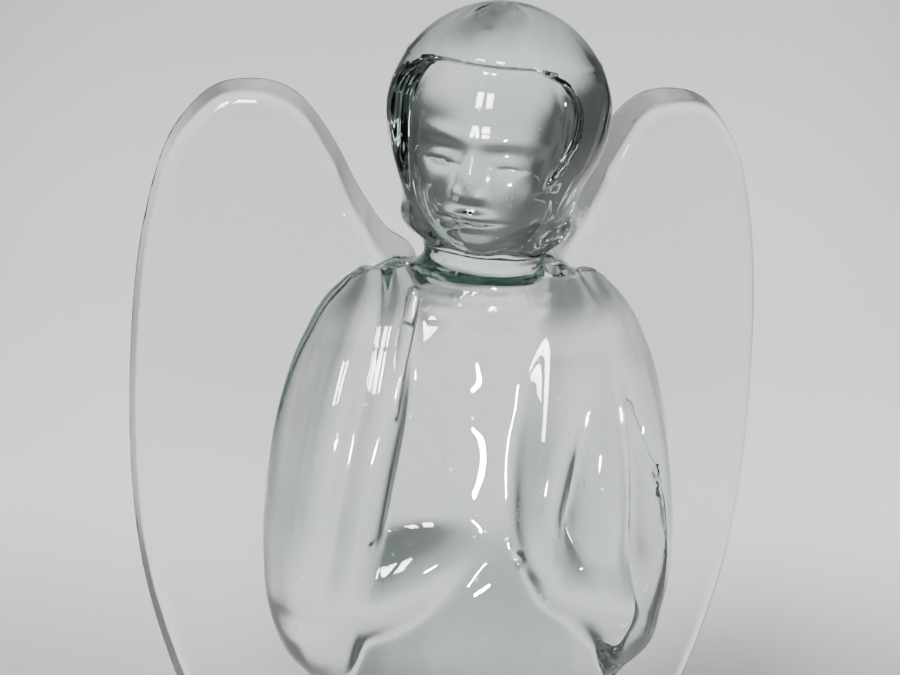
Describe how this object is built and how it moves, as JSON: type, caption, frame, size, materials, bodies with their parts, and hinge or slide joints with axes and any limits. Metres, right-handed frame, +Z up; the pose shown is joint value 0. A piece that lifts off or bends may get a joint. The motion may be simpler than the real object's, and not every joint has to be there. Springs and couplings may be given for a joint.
{
  "type": "crystal angel figurine",
  "caption": "Clear crystal angel figurine with plain oval wings, bobbed hair, pleated sleeves meeting at the front and a long folded skirt; stands on a flat base.",
  "frame": {"origin": "centre of the box around the figurine, at the flat underside it stands on", "axes": "+Z up; the face and the joined sleeves are towards -Y, the wings are behind at +Y; +X is the right hand of someone facing the figurine"},
  "size_m": [0.126, 0.0463, 0.2],
  "materials": {
    "crystal": "polished clear crystal with a faint grey-green cast and a satin ground underside"
  },
  "bodies": {
    "root": {"skirt": "crystal", "bodice": "crystal", "left_sleeve": "crystal", "right_sleeve": "crystal", "hands": "crystal", "collar": "crystal", "neck": "crystal", "head": "crystal", "hair": "crystal", "left_wing": "crystal", "right_wing": "crystal"}
  },
  "joints": []
}
